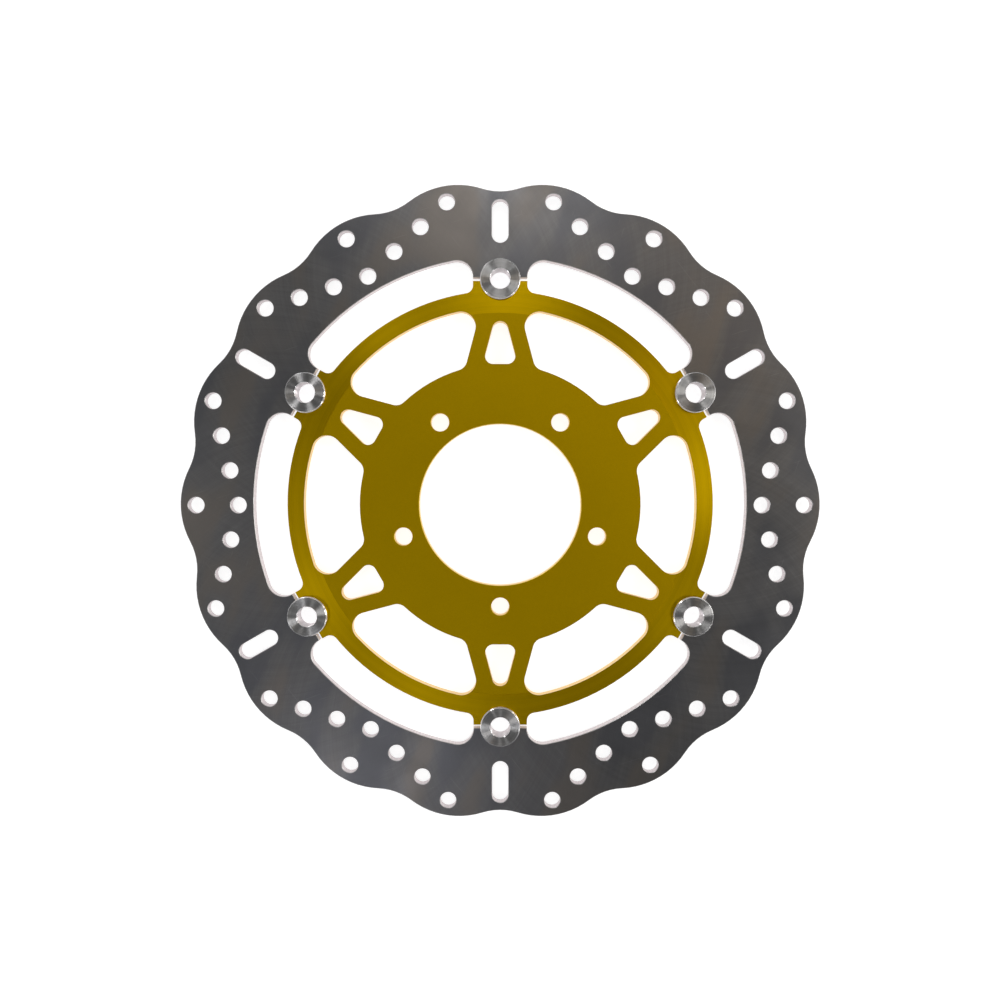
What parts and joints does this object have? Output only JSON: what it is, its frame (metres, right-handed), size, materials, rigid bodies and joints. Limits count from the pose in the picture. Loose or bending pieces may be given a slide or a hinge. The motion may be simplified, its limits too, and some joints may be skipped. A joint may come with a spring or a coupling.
{
  "type": "motorcycle brake disc rotor",
  "caption": "Floating wave-edged brake disc: a drilled and slotted steel band on a spoked gold carrier, joined by sprung drive buttons.",
  "frame": {"origin": "centre of the hub bore, halfway through the carrier's and the band's thickness", "axes": "+Z along the disc's axis towards the face seen on the bike, -Z towards the wheel hub, +X through a lobe of the band between two drive buttons"},
  "size_m": [0.32, 0.3162, 0.0092],
  "materials": {
    "band_steel": "ground stainless steel, cross-hatched",
    "gold_anodised": "gold anodised, satin, with a turned rim",
    "button_steel": "bright turned stainless steel",
    "washer_steel": "plain stainless steel",
    "spring_steel": "spring steel, satin",
    "ring_steel": "phosphated spring steel"
  },
  "bodies": {
    "carrier": {"carrier": "gold_anodised"},
    "float_washers": {"thrust_washer_1": "washer_steel", "thrust_washer_2": "washer_steel", "thrust_washer_3": "washer_steel", "thrust_washer_4": "washer_steel", "thrust_washer_5": "washer_steel", "thrust_washer_6": "washer_steel"},
    "rotor": {"rotor_ring": "band_steel"},
    "button_1": {"drive_button_1": "button_steel", "spring_washer_1": "spring_steel", "retaining_ring_1": "ring_steel"},
    "button_2": {"drive_button_2": "button_steel", "spring_washer_2": "spring_steel", "retaining_ring_2": "ring_steel"},
    "button_3": {"drive_button_3": "button_steel", "spring_washer_3": "spring_steel", "retaining_ring_3": "ring_steel"},
    "button_4": {"drive_button_4": "button_steel", "spring_washer_4": "spring_steel", "retaining_ring_4": "ring_steel"},
    "button_5": {"drive_button_5": "button_steel", "spring_washer_5": "spring_steel", "retaining_ring_5": "ring_steel"},
    "button_6": {"drive_button_6": "button_steel", "spring_washer_6": "spring_steel", "retaining_ring_6": "ring_steel"}
  },
  "joints": [
    {"name": "rotor_float", "type": "slide", "parent": "carrier", "child": "float_washers", "axis": [0, 0, 1], "range_m": [-0.0003, 0], "stiffness_N_per_m": 60000, "springref_m": 0.001, "deforming": ["spring_washer_1", "spring_washer_2", "spring_washer_3", "spring_washer_4", "spring_washer_5", "spring_washer_6"]},
    {"name": "rotor_backlash", "type": "hinge", "parent": "float_washers", "child": "rotor", "pos_m": [0, 0, 0], "axis": [0, 0, 1], "range_deg": [-0.04, 0.04]},
    {"name": "button_1_lift", "type": "slide", "parent": "carrier", "child": "button_1", "axis": [0, 0, 1], "range_m": [0, 0.0003], "stiffness_N_per_m": 2500, "springref_m": -0.002, "deforming": ["spring_washer_1"]},
    {"name": "button_2_lift", "type": "slide", "parent": "carrier", "child": "button_2", "axis": [0, 0, 1], "range_m": [0, 0.0003], "stiffness_N_per_m": 2500, "springref_m": -0.002, "deforming": ["spring_washer_2"]},
    {"name": "button_3_lift", "type": "slide", "parent": "carrier", "child": "button_3", "axis": [0, 0, 1], "range_m": [0, 0.0003], "stiffness_N_per_m": 2500, "springref_m": -0.002, "deforming": ["spring_washer_3"]},
    {"name": "button_4_lift", "type": "slide", "parent": "carrier", "child": "button_4", "axis": [0, 0, 1], "range_m": [0, 0.0003], "stiffness_N_per_m": 2500, "springref_m": -0.002, "deforming": ["spring_washer_4"]},
    {"name": "button_5_lift", "type": "slide", "parent": "carrier", "child": "button_5", "axis": [0, 0, 1], "range_m": [0, 0.0003], "stiffness_N_per_m": 2500, "springref_m": -0.002, "deforming": ["spring_washer_5"]},
    {"name": "button_6_lift", "type": "slide", "parent": "carrier", "child": "button_6", "axis": [0, 0, 1], "range_m": [0, 0.0003], "stiffness_N_per_m": 2500, "springref_m": -0.002, "deforming": ["spring_washer_6"]}
  ]
}
